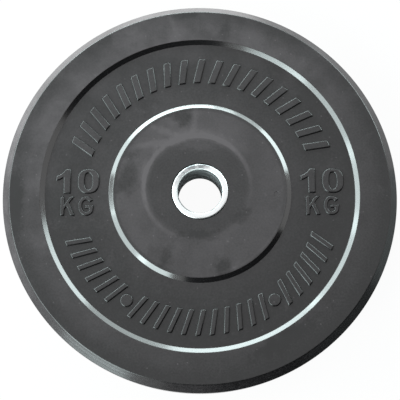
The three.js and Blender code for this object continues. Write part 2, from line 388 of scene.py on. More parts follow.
zero_centre = Vector((ZERO_WIDTH, FIGURE_HEIGHT, 0)) / 2
zero_outline = oval(zero_centre, *zero_centre.xy, 0, 2 * math.pi, ZERO_SQUARENESS, ZERO_STEPS)[:-1]
figure_zero = traced("figure_zero", zero_outline)
bpy.ops.mesh.select_all(action="SELECT")
bpy.ops.mesh.edge_face_add()
bpy.ops.mesh.inset(thickness=TOP_HOLD)
bpy.ops.transform.resize(
    value=(
        (ZERO_WIDTH / 2 - ZERO_STROKE) / (ZERO_WIDTH / 2 - TOP_HOLD),
        (FIGURE_HEIGHT / 2 - ZERO_CROWN) / (FIGURE_HEIGHT / 2 - TOP_HOLD),
        1,
    ),
    center_override=zero_centre,
)
pick(figure_zero, "faces", lambda face: len(face.verts) > QUAD_CORNERS)
bpy.ops.mesh.delete(type="FACE")
raised(figure_zero)
print("zero:", len(figure_zero.data.polygons), "faces")

# %% [markdown]
# ## Grip bars and studs
# Between the two weight marks the floor carries slanted grip bars along an upper and a lower arc, with two
# round studs in the lower one. They are engraved in the mould like the figures, so they are pulled up in
# the same way. One bar of each width is drawn once and copied along its arc, each copy with its own mesh.

# %% Draw a bar of each width, and a stud
BAR_LENGTH = 29.5 * MM
UPPER_BAR_WIDTH = 9.2 * MM
LOWER_BAR_WIDTH = 6.6 * MM
BAR_LEAN = 7.0 * MM
STUD_RADIUS = 7.5 * MM
STUD_STEPS = 40


def grip_bar(name, width):
    corner = Vector((width - BAR_LEAN, BAR_LENGTH, 0)) / 2
    foot = Vector((width + BAR_LEAN, BAR_LENGTH, 0)) / 2
    flipped = [Vector((-foot.x, -foot.y, 0)), Vector((corner.x, -corner.y, 0))]
    return outlined(name, flipped + [-point for point in flipped])


upper_bar = grip_bar("upper_grip_bar", UPPER_BAR_WIDTH)
lower_bar = grip_bar("lower_grip_bar", LOWER_BAR_WIDTH)
bpy.ops.object.select_all(action="DESELECT")
bpy.ops.mesh.primitive_circle_add(vertices=STUD_STEPS, radius=STUD_RADIUS, fill_type="NGON")
stud = bpy.context.object
bpy.ops.object.mode_set(mode="EDIT")
raised(stud)
print("stud:", len(stud.data.polygons), "faces, bar:", len(upper_bar.data.polygons), "faces")

# %% Set the marks out on the front floor
FIGURE_SPACING = 7.0 * MM
LETTER_SPACING = 3.0 * MM
MARK_LINE_GAP = 3.0 * MM
MARK_CENTRE_RADIUS = 139.2 * MM
UPPER_BAR_COUNT = 19
UPPER_BAR_SPAN = math.radians(136)
LOWER_BAR_SLOTS = 25
LOWER_BAR_SPAN = math.radians(135)
STUD_SLOTS = (6, 18)
UPPER_BAR_MARGIN = 17.4 * MM
LOWER_BAR_MARGIN = 13.4 * MM
QUARTER = math.pi / 2


def placed(mark, x, y, turn=0.0):
    """A copy of a mark on the front floor, with its turn and its place applied to its own mesh."""
    make_active(mark)
    bpy.ops.object.duplicate()
    copy = bpy.context.object
    copy.location = (x, y, FLOOR_HEIGHT)
    copy.rotation_euler.z = turn
    bpy.ops.object.transform_apply(location=True, rotation=True, scale=True)
    return copy


def placed_on_arc(mark, radius, angle):
    return placed(mark, radius * math.cos(angle), radius * math.sin(angle), angle - QUARTER)


marks = []
mark_height = FIGURE_HEIGHT + MARK_LINE_GAP + UNIT_HEIGHT
figures_foot = mark_height / 2 - FIGURE_HEIGHT
for side in (-1, 1):
    centre_x = side * MARK_CENTRE_RADIUS
    figures_left = centre_x - (ONE_WIDTH + FIGURE_SPACING + ZERO_WIDTH) / 2
    letters_left = centre_x - (K_WIDTH + LETTER_SPACING + G_WIDTH) / 2
    marks += [
        placed(figure_one, figures_left, figures_foot),
        placed(figure_zero, figures_left + ONE_WIDTH + FIGURE_SPACING, figures_foot),
        placed(letter_k, letters_left, -mark_height / 2),
        placed(letter_g, letters_left + K_WIDTH + LETTER_SPACING, -mark_height / 2),
    ]
upper_radius = FLOOR_OUTER_RADIUS - UPPER_BAR_MARGIN - BAR_LENGTH / 2
lower_radius = FLOOR_OUTER_RADIUS - LOWER_BAR_MARGIN - BAR_LENGTH / 2
for i in range(UPPER_BAR_COUNT):
    angle = QUARTER + UPPER_BAR_SPAN * (0.5 - i / (UPPER_BAR_COUNT - 1))
    marks.append(placed_on_arc(upper_bar, upper_radius, angle))
for i in range(LOWER_BAR_SLOTS):
    angle = -QUARTER + LOWER_BAR_SPAN * (i / (LOWER_BAR_SLOTS - 1) - 0.5)
    marks.append(placed_on_arc(stud if i in STUD_SLOTS else lower_bar, lower_radius, angle))
for pattern in (figure_one, figure_zero, letter_k, letter_g, upper_bar, lower_bar, stud):
    bpy.data.objects.remove(pattern)
print(len(marks), "raised marks on the front")

# %% [markdown]
# ## Joining the marks to the disc
# On the real plate the marks are one rubber with the disc. The front marks are turned over about the Y
# axis for the rear face, and the rubber keys that fill the holes of the buried flange are added. Then all
# of them are united with the disc, so that no hidden faces are left where they meet.

# %% Turn the marks over, add the keys and unite them all
KEY_COUNT = 8
KEY_RADIUS = 7.0 * MM - FIT_GAP
KEY_STEPS = 32
KEY_CIRCLE_RADIUS = (HUB_HOLE_RADIUS + WELD_LEG + FLANGE_RADIUS) / 2


def joined(objects):
    make_active(objects[0])
    for obj in objects:
        obj.select_set(True)
    bpy.ops.object.join()
    return bpy.context.object


def combined(obj, other, operation):
    """Unites an object with another or cuts the other out of it, and removes the other."""
    make_active(obj)
    bpy.ops.object.modifier_add(type="BOOLEAN")
    boolean = obj.modifiers[-1]
    boolean.operation = operation
    boolean.solver = "EXACT"
    boolean.object = other
    bpy.ops.object.modifier_apply(modifier=boolean.name)
    bpy.data.objects.remove(other)


front_marks = joined(marks)
make_active(front_marks)
bpy.ops.object.duplicate()
rear_marks = bpy.context.object
bpy.ops.object.mode_set(mode="EDIT")
bpy.ops.mesh.select_all(action="SELECT")
bpy.ops.transform.rotate(value=math.pi, orient_axis="Y", center_override=(0, 0, MID_HEIGHT))
bpy.ops.object.mode_set(mode="OBJECT")

keys = []
for i in range(KEY_COUNT):
    angle = 2 * math.pi * i / KEY_COUNT
    place = (KEY_CIRCLE_RADIUS * math.cos(angle), KEY_CIRCLE_RADIUS * math.sin(angle), MID_HEIGHT)
    bpy.ops.object.select_all(action="DESELECT")
    bpy.ops.mesh.primitive_cylinder_add(
        vertices=KEY_STEPS, radius=KEY_RADIUS, depth=2 * (SLOT_HALF_WIDTH + ROOT), location=place
    )
    bpy.ops.object.transform_apply(location=True, rotation=True, scale=True)
    keys.append(bpy.context.object)
combined(disc, joined([front_marks, rear_marks] + keys), "UNION")
print("rubber disc with its marks:", len(disc.data.polygons), "faces")

# %% [markdown]
# ## The mark of the ejector pin
# A pin of the mould leaves a shallow round print on the boss, right of the bore. A small disc with a
# bevelled rim is sunk a quarter of a millimetre into the face and cut out.

# %% Cut the print of the pin
PIN_PLACE = (86.7 * MM, -3.6 * MM)
PIN_RADIUS = 3.2 * MM
PIN_DEPTH = 0.25 * MM
PIN_STEPS = 32
PIN_CUTTER_HEIGHT = 4.0 * MM
SMOOTH_ANGLE = math.radians(35)

bpy.ops.object.select_all(action="DESELECT")
bpy.ops.mesh.primitive_cylinder_add(
    vertices=PIN_STEPS,
    radius=PIN_RADIUS,
    depth=PIN_CUTTER_HEIGHT,
    location=(*PIN_PLACE, disc_high.z - PIN_DEPTH + PIN_CUTTER_HEIGHT / 2),
)
pin = bpy.context.object
bpy.ops.object.transform_apply(location=True, rotation=True, scale=True)
bpy.ops.object.mode_set(mode="EDIT")
pick(pin, "edges", lambda edge: all(v.co.z < disc_high.z for v in edge.verts))
bpy.ops.mesh.bevel(offset=PIN_DEPTH / 2, segments=1, affect="EDGES")
bpy.ops.object.mode_set(mode="OBJECT")
combined(disc, pin, "DIFFERENCE")
make_active(disc)
bpy.ops.object.shade_smooth_by_angle(angle=SMOOTH_ANGLE)
print("rubber disc with the pin mark:", len(disc.data.polygons), "faces")

# %% [markdown]
# ## Turning the steel sleeve
# The sleeve is a short steel tube that lines the bore. Its mouths are chamfered so that the bar finds its
# way in, and its outer edges are rounded, since they stand a little proud of the rubber and would cut. It
# is spun like the disc, with more points on its roundings, because the large one catches the light.

# %% Spin the sleeve
BORE_RADIUS = 25.2 * MM
SLEEVE_CHAMFER = 1.4 * MM
SLEEVE_CHAMFER_DROP = 1.0 * MM
SLEEVE_ROUND = 2.2 * MM
SLEEVE_EASE = 0.4 * MM
SLEEVE_HOLD = 0.6 * MM
SLEEVE_STEPS = 160
SLEEVE_ROUND_SEGMENTS = 6

sleeve_section = [
    (BORE_RADIUS, SLEEVE_HALF_WIDTH - SLEEVE_CHAMFER_DROP - SLEEVE_HOLD, 0),
    (BORE_RADIUS, SLEEVE_HALF_WIDTH - SLEEVE_CHAMFER_DROP, SLEEVE_EASE),
    (BORE_RADIUS + SLEEVE_CHAMFER, SLEEVE_HALF_WIDTH, SLEEVE_EASE),
    (BORE_RADIUS + SLEEVE_CHAMFER + SLEEVE_HOLD, SLEEVE_HALF_WIDTH, 0),
    (SLEEVE_RADIUS - SLEEVE_ROUND - SLEEVE_HOLD, SLEEVE_HALF_WIDTH, 0),
    (SLEEVE_RADIUS, SLEEVE_HALF_WIDTH, SLEEVE_ROUND),
    (SLEEVE_RADIUS, SLEEVE_HALF_WIDTH - SLEEVE_ROUND - SLEEVE_HOLD, 0),
]
sleeve = turned("turned_steel_sleeve", sleeve_section, SLEEVE_STEPS, SLEEVE_ROUND_SEGMENTS)
make_active(sleeve)
bpy.ops.object.shade_smooth_by_angle(angle=SMOOTH_ANGLE)
print("sleeve:", len(sleeve.data.polygons), "faces")

# %% [markdown]
# ## Building materials
# Colours are picked as sRGB hex values, as on a screen, and one function turns them to the linear values
# that the shader needs. One function adds a node with its settings and its links. Patterns read Object
# coordinates, which are real metres here, so a pattern's scale is one over a real size. Many looks change
# between two readings of a pattern or a place. A Map Range node does that, and each change is named as its
# four numbers: the first and the last reading, and the levels at them. It is eased, because wear has soft
# edges. A Mix node has sockets for several kinds of data, so its colours are found by place.

# %% Helpers for materials
EASED = {"interpolation_type": "SMOOTHSTEP"}
MIX_A, MIX_B, MIX_RESULT = 6, 7, 2
WHITE = "#ffffff"


def hex_colour(code):
    """Linear RGBA from an sRGB hex value, by the formula of that standard."""
    channels = [int(code[i:i + 2], 16) / 255 for i in (1, 3, 5)]
    return [c / 12.92 if c <= 0.04045 else ((c + 0.055) / 1.055) ** 2.4 for c in channels] + [1.0]


def add_node(tree, kind, inputs=(), **settings):
    """A new shader node. An input, by place or by name, is a value, a socket, or a node's first socket."""
    node = tree.nodes.new("ShaderNode" + kind)
    for name, value in settings.items():
        setattr(node, name, value)
    for key, value in inputs.items() if isinstance(inputs, dict) else enumerate(inputs):
        source = value.outputs[0] if isinstance(value, bpy.types.Node) else value
        if isinstance(source, bpy.types.NodeSocket):
            tree.links.new(source, node.inputs[key])
        else:
            node.inputs[key].default_value = source
    return node


def product_of(tree, *shares):
    """Shares multiplied together, which is full only where all of them are."""
    product = shares[0]
    for share in shares[1:]:
        product = add_node(tree, "Math", (product, share), operation="MULTIPLY")
    return product


def new_material(name):
    """A material and its node tree, emptied."""
    material = bpy.data.materials.new(name)
    material.use_nodes = True
    material.node_tree.nodes.clear()
    return material, material.node_tree


def give(obj, material):
    obj.data.materials.clear()
    obj.data.materials.append(material)


print("pure white is", hex_colour(WHITE))

# %% [markdown]
# ## Moulded rubber
# The rubber is black, pressed against a polished mould: smooth and slightly shiny, so it shows the studio
# more than its own colour. What changes over the plate is how grey it has become. That could be painted by
# hand, but here it is a sum of shares of grey, one for each cause, so that each can be changed by itself.
# Each cause needs to know where on the plate a point lies, so that is measured first: how far from the
# axis, and from the middle of the plate that lay on this one, how far towards the back left, where the
# rubber is made greyer, and whether on a flat or on a slope.

# %% Measure where on the plate a point lies
CONTACT_CENTRE = (-2.9 * MM, 4.1 * MM, 0.0)
GREYER_SIDE = (-0.55, 0.83, 0.0)
FLAT_TO_SLOPE = (0.97, 0.9, 0.0, 1.0)


def distance_from_axis(tree, place):
    """How far a place is from the axis, which leaves its height out."""
    across = add_node(tree, "VectorMath", (place, (1, 1, 0)), operation="MULTIPLY")
    return add_node(tree, "VectorMath", (across,), operation="LENGTH").outputs["Value"]


rubber, tree = new_material("compression_moulded_black_rubber")
place = add_node(tree, "TexCoord").outputs["Object"]
radius = distance_from_axis(tree, place)
contact_radius = distance_from_axis(
    tree, add_node(tree, "VectorMath", (place, CONTACT_CENTRE), operation="SUBTRACT")
)
side = add_node(tree, "VectorMath", (place, GREYER_SIDE), operation="DOT_PRODUCT").outputs["Value"]
normal = add_node(tree, "NewGeometry").outputs["Normal"]
normal_z = add_node(tree, "SeparateXYZ", (normal,)).outputs["Z"]
flatness = add_node(tree, "Math", (normal_z,), operation="ABSOLUTE")
on_slope = add_node(tree, "MapRange", (flatness, *FLAT_TO_SLOPE), **EASED)
inside_rim = add_node(tree, "Math", (radius, RIM_FACE_RADIUS), operation="LESS_THAN")
print("places measured with", len(tree.nodes), "nodes")

# %% [markdown]
# ## Uneven wear
# Nothing on rubber wears evenly. Three noises, scaled from real sizes in millimetres, break up all that
# follows: clouds half a hand wide, smudges a finger wide, and long streaks, which are a noise pulled out
# of shape by itself.

# %% Lay out clouds, smudges and streaks
CLOUD_SIZE = 45 * MM
SMUDGE_SIZE = 13 * MM
STREAK_SIZE = 60 * MM

clouds = add_node(tree, "TexNoise", {
    "Vector": place, "Scale": 1 / CLOUD_SIZE, "Detail": 5.0, "Roughness": 0.6,
})
smudges = add_node(tree, "TexNoise", {
    "Vector": place, "Scale": 1 / SMUDGE_SIZE, "Detail": 6.0, "Roughness": 0.65,
})
streaks = add_node(tree, "TexNoise", {
    "Vector": place, "Scale": 1 / STREAK_SIZE, "Detail": 8.0, "Roughness": 0.7, "Distortion": 1.6,
})
print("clouds, smudges and streaks laid out")

# %% [markdown]
# ## Rings rubbed by other plates
# Stacked plates touch at the hub and the rim. The boss is rubbed grey outside the circle where the next
# hub lay, and that circle shows as a pale ridge, with a brushed band beside it towards the back left. The
# rim is rubbed over its inner half, and so is the bevel outside it, and the tops of the marks a little. Each
# ring is a list of distances from the axis in millimetres, with the share of grey there, and a Color Ramp
# node runs between them. The ridge and the band fade towards the other side, and the streaks break them.

# %% Rub the rings grey
RUBBED_BY_RADIUS = (
    (94, 1.0), (96.5, 0.45), (100, 0.2), (112, 0.13), (130, 0.03), (176, 0.0), (182, 0.3), (196, 0.25),
    (208, 0.05), (215, 0.0), (218, 0.32), (224, 0.32), (225, 0.08),
)
RUBBED_BY_CONTACT = ((54, 0.16), (60, 0.45), (99, 0.42), (101, 1.0))
CONTACT_RIDGE = ((58, 0.0), (60, 0.9), (61.5, 1.0), (65, 0.0))
BRUSHED_BAND = ((55, 0.0), (60, 0.5), (64, 0.5), (71, 0.0))
RAISED_TOPS = ((103, 0.0), (106, 0.09), (173, 0.09), (176, 0.0))


def level_at(tree, distance, levels):
    """The level at a distance from the axis, from a list of distances in millimetres and their levels."""
    share = add_node(tree, "Math", (distance, PLATE_RADIUS), operation="DIVIDE")
    ramp = add_node(tree, "ValToRGB", (share,))
    elements = ramp.color_ramp.elements
    positions = [place_mm * MM / PLATE_RADIUS for place_mm, _ in levels]
    elements[0].position, elements[1].position = positions[0], positions[-1]
    for position in positions[1:-1]:
        elements.new(position)
    for element, (_, level) in zip(elements, levels):
        element.color = (level, level, level, 1)
    return ramp


rubbed = product_of(
    tree, level_at(tree, radius, RUBBED_BY_RADIUS), level_at(tree, contact_radius, RUBBED_BY_CONTACT)
)
print("rubbed rings read from lists of", len(RUBBED_BY_RADIUS), "and", len(RUBBED_BY_CONTACT), "places")

# %% Break the rings up
CLOUDS_MOTTLE = (0.3, 0.65, 0.65, 1.15)
GREYER_SIDE_GAIN = 14.0
RIDGE_SIDE = (-50 * MM, 50 * MM)
STREAKS_BREAK_RIDGE = (0.3, 0.6, 0.3, 0.9)
BRUSHED_SIDE = (10 * MM, 60 * MM)
STREAKS_BREAK_BAND = (0.35, 0.65)

mottle = add_node(tree, "MapRange", (clouds, *CLOUDS_MOTTLE), **EASED)
# The rubbed rings are made greyer towards the back left and less grey towards the front right.
towards_side = product_of(tree, side, radius)
side_gain = add_node(tree, "Math", (towards_side, GREYER_SIDE_GAIN, 1.0), operation="MULTIPLY_ADD")
ridge = product_of(
    tree,
    level_at(tree, contact_radius, CONTACT_RIDGE),
    add_node(tree, "MapRange", (side, *RIDGE_SIDE), **EASED),
    add_node(tree, "MapRange", (streaks, *STREAKS_BREAK_RIDGE), **EASED),
)
brushed_band = product_of(
    tree,
    add_node(tree, "MapRange", (side, *BRUSHED_SIDE), **EASED),
    add_node(tree, "MapRange", (streaks, *STREAKS_BREAK_BAND), **EASED),
    level_at(tree, contact_radius, BRUSHED_BAND),
)
height = add_node(tree, "SeparateXYZ", (place,)).outputs["Z"]
above_floor = add_node(tree, "Math", (height, FLOOR_HEIGHT + RELIEF / 2), operation="GREATER_THAN")
raised_tops = product_of(tree, above_floor, level_at(tree, radius, RAISED_TOPS))
greys = [product_of(tree, rubbed, mottle, side_gain), ridge, brushed_band, raised_tops]
print("causes of grey so far:", len(greys))

# %% [markdown]
# ## Bloom, dust and specks
# Wax that sweats out of rubber leaves pale clouds, more of them on the rim and on one side. Streaks and
# smudges add to them, fine dust makes the whole face a little uneven, and a few pale specks lie on the
# flats. A speck is the middle of a cell of a Voronoi texture, and about half of the cells have none.

# %% Add bloom, dust and specks
DUST_SIZE = 2.2 * MM
SPECK_SPACING = 24 * MM
SPECK_RADIUS = 1.0 * MM
SPECK_CORE_SHARE = 0.5
EMPTY_CELLS_SHARE = 0.5
MORE_ON_GREYER_SIDE = (-PLATE_RADIUS, PLATE_RADIUS, -0.2, 0.16)
MORE_ON_RIM = (90 * MM, 190 * MM, 0.3, 1.0)
CLOUDS_GREY = (0.45, 0.85, 0.0, 0.28)
STREAKS_GREY = (0.6, 0.78, 0.0, 0.3)
SMUDGES_GREY = (0.66, 0.76, 0.0, 0.25)
DUST_GREY = (0.25, 0.75, -0.08, 0.08)
SPECKS_GREY = (SPECK_CORE_SHARE * SPECK_RADIUS / SPECK_SPACING, SPECK_RADIUS / SPECK_SPACING, 0.5, 0.0)

# The clouds are also made greyer towards the back left.
side_bias = add_node(tree, "MapRange", (side, *MORE_ON_GREYER_SIDE), **EASED)
all_clouds = add_node(tree, "Math", (clouds, side_bias), operation="ADD")
greys.append(product_of(
    tree,
    add_node(tree, "MapRange", (all_clouds, *CLOUDS_GREY), **EASED),
    add_node(tree, "MapRange", (radius, *MORE_ON_RIM), **EASED),
))
dust = add_node(tree, "TexNoise", {"Vector": place, "Scale": 1 / DUST_SIZE, "Detail": 3.0})
for pattern, change in ((streaks, STREAKS_GREY), (smudges, SMUDGES_GREY), (dust, DUST_GREY)):
    greys.append(add_node(tree, "MapRange", (pattern, *change), **EASED))
cells = add_node(
    tree, "TexVoronoi", {"Vector": place, "Scale": 1 / SPECK_SPACING}, voronoi_dimensions="2D"
).outputs
specks = add_node(tree, "MapRange", (cells["Distance"], *SPECKS_GREY), **EASED)
kept_cells = add_node(tree, "Math", (cells["Color"], EMPTY_CELLS_SHARE), operation="GREATER_THAN")
off_slope = add_node(tree, "Math", (1.0, on_slope), operation="SUBTRACT")
greys.append(product_of(tree, specks, kept_cells, off_slope))
print("causes of grey so far:", len(greys))

# %% [markdown]
# ## Wiped and greyed patches
# Handling has wiped some places clean and greyed others. Each patch is an oval with a ragged edge. A
# Mapping node moves, turns and shrinks the coordinates so that the oval becomes a ball of radius one, the
# distance from its middle says how far in a point lies, and the smudges are added to make the edge ragged.
# The numbers of a patch are the place of its middle, half its length and half its width in millimetres,
# its turn in degrees, and the share of grey, which is below zero where the rubber was wiped clean.

# %% Lay the patches
PATCHES = (
    (-21.0, 86.0, 15, 13, 0, -0.5),
    (25.7, -86.0, 15, 13, 0, -0.34),
    (-36.6, -70.0, 22, 6, 62, -0.16),
    (-38.0, 70.0, 26, 5, -22, 0.34),
    (-52.0, 56.0, 34, 5, 8, 0.3),
    (-6.0, 83.0, 22, 5, 84, 0.26),
    (30.5, -57.4, 2.2, 2.2, 0, 0.5),
    (-83.0, 194.0, 26, 9, 25, 0.2),
    (-60.0, 196.0, 44, 15, 18, 0.16),
    (-15.0, 212.0, 20, 6, 4, -0.2),
    (-32.0, 203.0, 18, 4, -70, 0.2),
    (30.0, 192.0, 17, 9, 80, -0.2),
    (-178.0, 78.0, 30, 14, 60, 0.16),
    (-82.0, 20.0, 40, 14, 75, -0.3),
    (-44.0, -75.0, 20, 13, -30, -0.2),
    (0.0, -52.0, 34, 9, 0, -0.25),
    (48.0, -28.0, 12, 8, 60, -0.25),
    (-2.0, 55.0, 30, 8, 0, 0.2),
    (95.0, -165.0, 55, 11, 30, -0.2),
    (-207.0, -5.0, 60, 9, 90, -0.16),
)
RAGGEDNESS = 2.4
PATCH_EDGE = (0.25, 1.15)


def patch(tree, place, x, y, half_length, half_width, turn, amount):
    local = add_node(tree, "Mapping", {
        "Vector": place, "Location": (x * MM, y * MM, disc_high.z), "Rotation": (0, 0, math.radians(turn)),
        "Scale": (half_length * MM, half_width * MM, half_width * MM),
    }, vector_type="TEXTURE")
    away = add_node(tree, "VectorMath", (local,), operation="LENGTH").outputs["Value"]
    raggedness = add_node(tree, "Math", (smudges, RAGGEDNESS, -RAGGEDNESS / 2), operation="MULTIPLY_ADD")
    ragged = add_node(tree, "Math", (away, raggedness), operation="ADD")
    return add_node(tree, "MapRange", (ragged, *PATCH_EDGE, amount, 0.0), **EASED)


greys += [patch(tree, place, *numbers) for numbers in PATCHES]
print("causes of grey in all:", len(greys))

# %% [markdown]
# ## The colour of the rubber
# The sum of all the greys mixes a worn grey into the black. The sloped walls of the recess and the boss
# get none, because nothing touches them.

# %% Mix the greys into the black
RUBBER_BLACK = "#161415"
RUBBED_GREY = "#524c4e"

grey_share = greys[0]
for share in greys[1:]:
    grey_share = add_node(tree, "Math", (grey_share, share), operation="ADD")
grey_share = add_node(tree, "Math", (grey_share, 0.0), operation="MAXIMUM")
inner_slope = product_of(tree, on_slope, inside_rim)
off_inner_slope = add_node(tree, "Math", (1.0, inner_slope), operation="SUBTRACT")
rubber_colour = add_node(tree, "Mix", {
    "Factor": product_of(tree, grey_share, off_inner_slope),
    MIX_A: hex_colour(RUBBER_BLACK), MIX_B: hex_colour(RUBBED_GREY),
}, data_type="RGBA").outputs[MIX_RESULT]
print("coloured with", len(tree.nodes), "nodes")

# %% [markdown]
# ## The gloss of the rubber
# The flats are satin, a little duller where they are smudged. The walls of the recess and the boss were
# turned smooth in the mould and stay clean, so they are glossier, and a thin clear coat gives them the
# sharp white of a wet look. They are found by their slope and by their distance from the axis, again as a
# list in millimetres. The bevel of the tread shows rings from the tool that cut the mould, and the tread a
# fine grain. Both are finer than half a millimetre on the real plate, and are drawn 1.8 and 1.4 mm wide so
# that they show.

# %% Polish the walls and give the tread its grain
RUBBER_IOR = 1.5
SMUDGES_DULL = (0.3, 0.7, 0.32, 0.42)
SLOPE_ROUGHNESS = 0.2
TURNED_WALLS = ((97, 0.0), (98, 1.0), (105, 1.0), (106, 0.0), (174, 0.0), (175, 1.0), (183, 1.0), (184, 0.0))
WALL_ROUGHNESS = 0.17
COAT_ROUGHNESS = 0.14
TOOL_LINE_PITCH = 1.8 * MM
TOOL_LINE_HEIGHT = 0.03 * MM
GRAIN_SIZE = 1.4 * MM
GRAIN_HEIGHT = 0.02 * MM
GRAIN_STRENGTH = 0.6

turned_wall = product_of(tree, on_slope, level_at(tree, radius, TURNED_WALLS))
roughness = add_node(tree, "MapRange", (smudges, *SMUDGES_DULL), **EASED)
for share, level in ((on_slope, SLOPE_ROUGHNESS), (turned_wall, WALL_ROUGHNESS)):
    roughness = add_node(tree, "Mix", {"Factor": share, "A": roughness, "B": level}, data_type="FLOAT")
on_tread = add_node(tree, "Math", (1.0, inside_rim), operation="SUBTRACT")
tool_lines = add_node(
    tree, "TexNoise", {"W": radius, "Scale": 1 / TOOL_LINE_PITCH, "Detail": 1.0}, noise_dimensions="1D"
)
lined = add_node(tree, "Bump", {"Height": tool_lines, "Strength": on_tread, "Distance": TOOL_LINE_HEIGHT})
grained = add_node(tree, "Bump", {
    "Height": add_node(tree, "TexNoise", {"Vector": place, "Scale": 1 / GRAIN_SIZE, "Detail": 2.0}),
    "Strength": product_of(tree, on_tread, GRAIN_STRENGTH), "Distance": GRAIN_HEIGHT, "Normal": lined,
})
rubber_shader = add_node(tree, "BsdfPrincipled", {
    "Base Color": rubber_colour, "Roughness": roughness, "IOR": RUBBER_IOR, "Normal": grained,
    "Coat Weight": turned_wall, "Coat Roughness": COAT_ROUGHNESS,
})
add_node(tree, "OutputMaterial", {"Surface": rubber_shader})
give(disc, rubber)
print(rubber.name, "with", len(tree.nodes), "nodes")

# %% [markdown]
# ## Turned steel
# The sleeve is mild steel turned on a lathe and bright zinc plated. The tool leaves fine grooves around
# the axis, so the metal is drawn in rings: a noise read by radius and height, which is the same all round.
# The grooves of a real tool are too fine to show here, so they are drawn a third of a millimetre wide. The
# ring is painted grey on its far side in patches, a painted dark reflection. Use has marked the rest: the
# zinc on the chamfered mouth has bloomed to a dull white, and rubber dust lies in streaks around the bore.
# The near side of the mouth's inner edge is darkened with a painted shadow.

# %% Groove the ring and paint a dark reflection on its far side
STEEL_BRIGHT = "#e6e7e8"
STEEL_DARK_REFLECTION = "#85888a"
GROOVE_WIDTH = 0.35 * MM
DARK_REFLECTION_PATCH_SIZE = 9 * MM
DARK_REFLECTION_SIDE = (-0.45, 0.89, 0.0)
DARK_REFLECTION_REACH = (16 * MM, 25 * MM)
DARK_REFLECTION_PATCHES = (0.25, 0.6, 0.2, 1.0)

steel, tree = new_material("turned_zinc_plated_steel")
place = add_node(tree, "TexCoord").outputs["Object"]
radius = distance_from_axis(tree, place)
along = add_node(tree, "SeparateXYZ", (place,)).outputs
rings = add_node(tree, "CombineXYZ", {"X": radius, "Y": along["Z"]})
grooves = add_node(tree, "TexNoise", {"Vector": rings, "Scale": 1 / GROOVE_WIDTH, "Detail": 2.0})
dark_reflection_noise = add_node(tree, "TexNoise", {
    "Vector": place, "Scale": 1 / DARK_REFLECTION_PATCH_SIZE, "Detail": 5.0, "Roughness": 0.6,
})
side = add_node(tree, "VectorMath", (place, DARK_REFLECTION_SIDE), operation="DOT_PRODUCT").outputs["Value"]
# Painted dark reflection: the far side of the ring turns grey, in patches.
dark_reflection = product_of(
    tree,
    add_node(tree, "MapRange", (side, *DARK_REFLECTION_REACH), **EASED),
    add_node(tree, "MapRange", (dark_reflection_noise, *DARK_REFLECTION_PATCHES), **EASED),
)
steel_colour = add_node(tree, "Mix", {
    "Factor": dark_reflection, MIX_A: hex_colour(STEEL_BRIGHT), MIX_B: hex_colour(STEEL_DARK_REFLECTION),
}, data_type="RGBA").outputs[MIX_RESULT]
print("ring grooved and stained with", len(tree.nodes), "nodes")

# %% Bloom the mouth, dust the bore and paint shadow on the edge
ZINC_BLOOM = "#eff1f1"
BORE_DUST = "#9fa2a3"
EDGE_SHADOW = "#3c3d3e"
EDGE_SHADOW_WIDTH = 1.1 * MM
STREAK_WIDTH = 2.5 * MM
STREAK_STRETCH = (0.2, 0.2, 1.0)
STREAKS_SHOW = (0.35, 0.65, 0.3, 1.0)
SHADOW_BESIDE_MIDDLE = (6 * MM, 14 * MM)
SHADOW_BELOW_MIDDLE = (-3 * MM, -8 * MM)
SHADOW_LEFT_TO_RIGHT = (-8 * MM, 8 * MM, 0.9, 0.55)

in_bore = add_node(tree, "Math", (radius, BORE_RADIUS + SLEEVE_EASE), operation="LESS_THAN")
in_mouth = add_node(tree, "Math", (radius, BORE_RADIUS + SLEEVE_CHAMFER), operation="LESS_THAN")
at_edge = add_node(tree, "Math", (radius, BORE_RADIUS + EDGE_SHADOW_WIDTH), operation="LESS_THAN")
drawn_round = add_node(tree, "VectorMath", (place, STREAK_STRETCH), operation="MULTIPLY")
bore_streaks = add_node(tree, "TexNoise", {"Vector": drawn_round, "Scale": 1 / STREAK_WIDTH, "Detail": 3.0})
bore_colour = add_node(tree, "Mix", {
    "Factor": add_node(tree, "MapRange", (bore_streaks, *STREAKS_SHOW), **EASED),
    MIX_A: hex_colour(RUBBER_BLACK), MIX_B: hex_colour(BORE_DUST),
}, data_type="RGBA").outputs[MIX_RESULT]
from_middle = add_node(tree, "Math", (along["X"],), operation="ABSOLUTE")
# Painted shadow on the near side of the mouth's inner edge, broken in the middle and stronger on the left.
shadowed_edge = product_of(
    tree,
    at_edge,
    add_node(tree, "MapRange", (from_middle, *SHADOW_BESIDE_MIDDLE), **EASED),
    add_node(tree, "MapRange", (along["Y"], *SHADOW_BELOW_MIDDLE), **EASED),
    add_node(tree, "MapRange", (along["X"], *SHADOW_LEFT_TO_RIGHT), **EASED),
)
for share, coat in (
    (in_mouth, hex_colour(ZINC_BLOOM)), (shadowed_edge, hex_colour(EDGE_SHADOW)), (in_bore, bore_colour),
):
    steel_colour = add_node(tree, "Mix", {
        "Factor": share, MIX_A: steel_colour, MIX_B: coat,
    }, data_type="RGBA").outputs[MIX_RESULT]
print("mouth and bore coloured with", len(tree.nodes), "nodes")

# %% Put the turned steel together
MOUTH_BARE_METAL = (0.0, 1.0, 1.0, 0.35)
MOUTH_ROUGHNESS = 0.85
GROOVES_DULL = (0.3, 0.7, 0.22, 0.38)
GROOVE_DEPTH = 0.01 * MM
GROOVE_STRENGTH = 0.6

